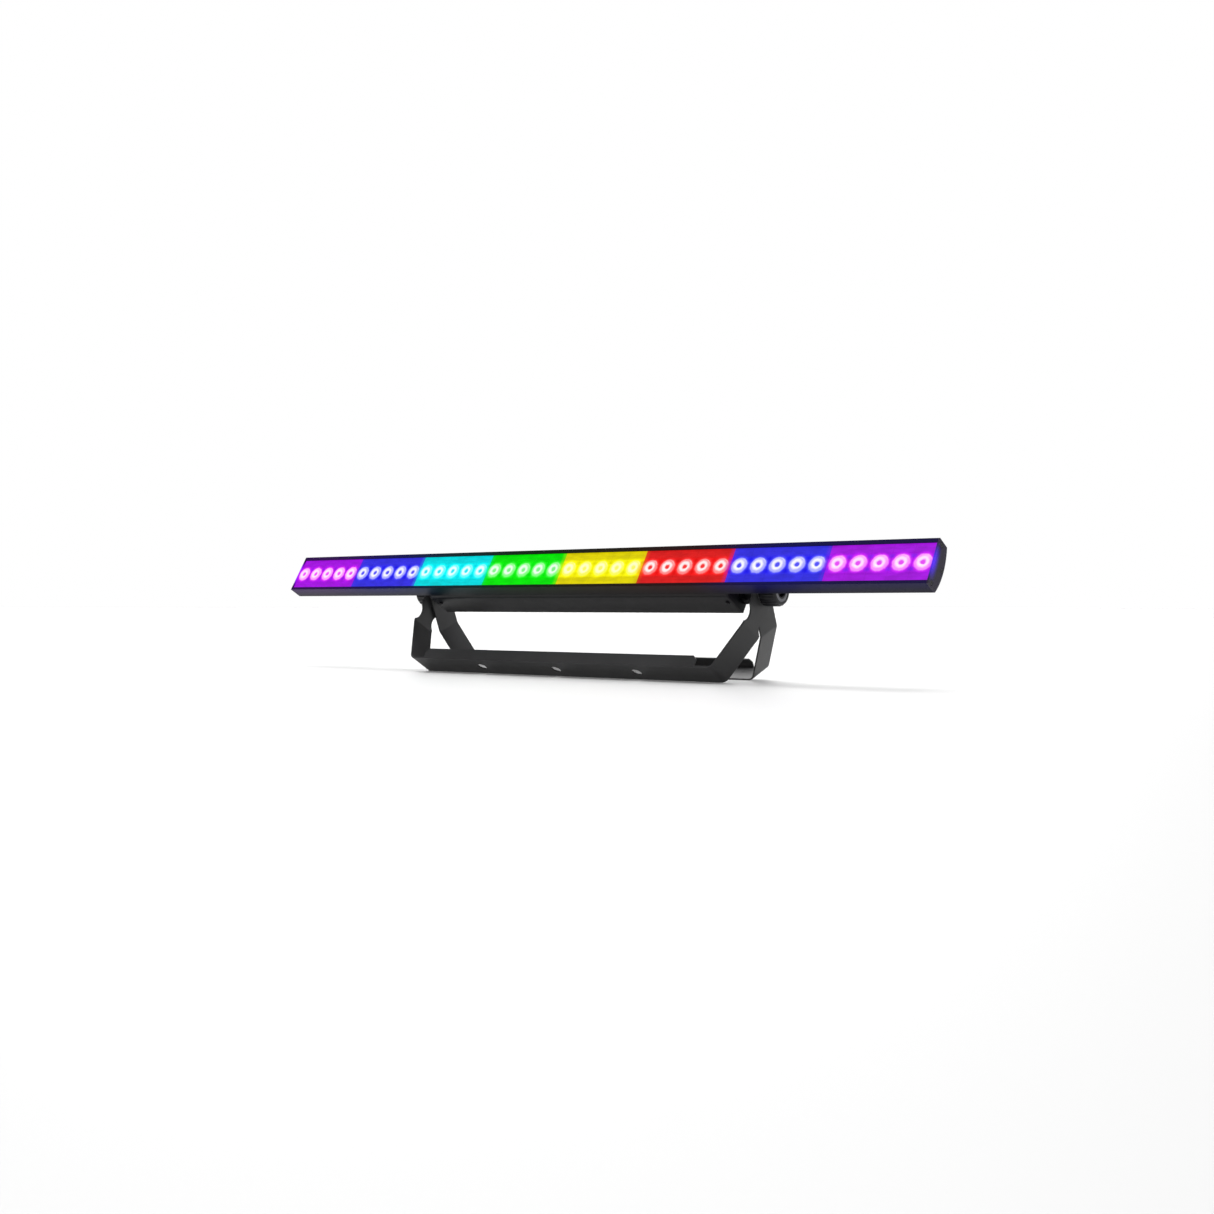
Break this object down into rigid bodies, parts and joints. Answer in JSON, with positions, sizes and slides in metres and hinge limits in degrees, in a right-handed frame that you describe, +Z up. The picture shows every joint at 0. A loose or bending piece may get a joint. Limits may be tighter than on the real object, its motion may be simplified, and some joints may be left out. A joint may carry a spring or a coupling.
{
  "type": "led strip batten",
  "caption": "Slim stage light bar with a row of lit lens sections, a power box behind, and a folding double yoke that clamps with side knobs and stands on the floor.",
  "frame": {"origin": "on the floor under the middle of the batten, at the bottom centre of its box", "axes": "+X along the batten to the right as seen from the lit side, +Y away from the lit side, +Z up"},
  "size_m": [1, 0.1272, 0.1576],
  "materials": {
    "black_anodised": "satin",
    "yoke_powder_coat": "fine-textured satin powder coat",
    "black_painted_sheet": "satin",
    "black_plastic": "fine-grained",
    "zinc_steel": "zinc plated",
    "black_screw_steel": "black oxide",
    "led_board": "white solder mask",
    "circuit_board": "green solder mask",
    "supply_case": "bare sheet",
    "lead_sleeve": "matt",
    "display_window": "smoked, glossy",
    "power_inlet_blue": "moulded",
    "power_outlet_grey": "moulded",
    "lens_violet": "clear lens lit violet",
    "lens_blue": "clear lens lit blue",
    "lens_cyan": "clear lens lit cyan",
    "lens_green": "clear lens lit green",
    "lens_yellow": "clear lens lit yellow",
    "lens_red": "clear lens lit red"
  },
  "bodies": {
    "front_yoke": {"front_yoke": "yoke_powder_coat"},
    "rear_yoke": {"rear_yoke": "yoke_powder_coat"},
    "head": {"housing_extrusion": "black_anodised", "end_cap_left": "black_plastic", "end_cap_right": "black_plastic", "end_cap_screw_left_1": "black_screw_steel", "end_cap_screw_left_2": "black_screw_steel", "end_cap_screw_left_3": "black_screw_steel", "end_cap_screw_right_1": "black_screw_steel", "end_cap_screw_right_2": "black_screw_steel", "end_cap_screw_right_3": "black_screw_steel", "lens_panel_1": "lens_violet", "lens_panel_2": "lens_blue", "lens_panel_3": "lens_cyan", "lens_panel_4": "lens_green", "lens_panel_5": "lens_yellow", "lens_panel_6": "lens_red", "lens_panel_7": "lens_blue", "lens_panel_8": "lens_violet", "led_board_left": "led_board", "led_board_right": "led_board", "power_box_shell": "black_painted_sheet", "power_box_end_left": "black_painted_sheet", "power_box_end_right": "black_painted_sheet", "box_end_screw_left": "black_screw_steel", "box_end_screw_right": "black_screw_steel", "power_box_back_cover": "black_painted_sheet", "cover_screw_1": "black_screw_steel", "cover_screw_2": "black_screw_steel", "cover_screw_3": "black_screw_steel", "cover_screw_4": "black_screw_steel", "power_supply": "supply_case", "led_driver_board": "circuit_board", "control_board": "circuit_board", "led_lead_left": "lead_sleeve", "led_lead_right": "lead_sleeve", "power_inlet": "power_inlet_blue", "power_outlet": "power_outlet_grey", "dmx_input": "black_plastic", "dmx_output": "black_plastic", "display_window": "display_window", "safety_eye": "black_painted_sheet", "pivot_boss_left": "black_anodised", "pivot_boss_right": "black_anodised", "pivot_stud_left": "zinc_steel", "pivot_stud_right": "zinc_steel", "friction_washer_left": "black_plastic", "friction_washer_right": "black_plastic", "knob_washer_left": "zinc_steel", "knob_washer_right": "zinc_steel"},
    "knob_left": {"clamp_knob_left": "black_plastic"},
    "knob_right": {"clamp_knob_right": "black_plastic"},
    "button_1": {"menu_button_1": "black_plastic"},
    "button_2": {"menu_button_2": "black_plastic"},
    "button_3": {"menu_button_3": "black_plastic"},
    "button_4": {"menu_button_4": "black_plastic"},
    "dmx_latch": {"dmx_output_latch": "zinc_steel"},
    "fuse": {"fuse_cap": "black_plastic"}
  },
  "joints": [
    {"name": "head_tilt", "type": "hinge", "parent": "front_yoke", "child": "head", "pos_m": [0, 0.00895, 0.10442], "axis": [1, 0, 0], "range_deg": [-100, 28]},
    {"name": "rear_yoke_swing", "type": "hinge", "parent": "front_yoke", "child": "rear_yoke", "pos_m": [0, 0.00895, 0.10442], "axis": [1, 0, 0], "range_deg": [-50, 50]},
    {"name": "knob_left_turn", "type": "hinge", "parent": "head", "child": "knob_left", "pos_m": [-0.277, 0.00895, 0.10442], "axis": [-1, 0, 0], "range_deg": [0, 270]},
    {"name": "knob_right_turn", "type": "hinge", "parent": "head", "child": "knob_right", "pos_m": [0.277, 0.00895, 0.10442], "axis": [1, 0, 0], "range_deg": [0, 270]},
    {"name": "button_1_press", "type": "slide", "parent": "head", "child": "button_1", "axis": [0, -0.8572, 0.515], "range_m": [0, 0.001], "stiffness_N_per_m": 400, "springref_m": -0.0005},
    {"name": "button_2_press", "type": "slide", "parent": "head", "child": "button_2", "axis": [0, -0.8572, 0.515], "range_m": [0, 0.001], "stiffness_N_per_m": 400, "springref_m": -0.0005},
    {"name": "button_3_press", "type": "slide", "parent": "head", "child": "button_3", "axis": [0, -0.8572, 0.515], "range_m": [0, 0.001], "stiffness_N_per_m": 400, "springref_m": -0.0005},
    {"name": "button_4_press", "type": "slide", "parent": "head", "child": "button_4", "axis": [0, -0.8572, 0.515], "range_m": [0, 0.001], "stiffness_N_per_m": 400, "springref_m": -0.0005},
    {"name": "dmx_latch_press", "type": "slide", "parent": "head", "child": "dmx_latch", "axis": [0, -0.8572, 0.515], "range_m": [0, 0.0012], "stiffness_N_per_m": 400, "springref_m": -0.0005},
    {"name": "fuse_turn", "type": "hinge", "parent": "head", "child": "fuse", "pos_m": [-0.128, 0.01692, 0.09963], "axis": [0, 0.8572, -0.515], "range_deg": [0, 90]}
  ]
}
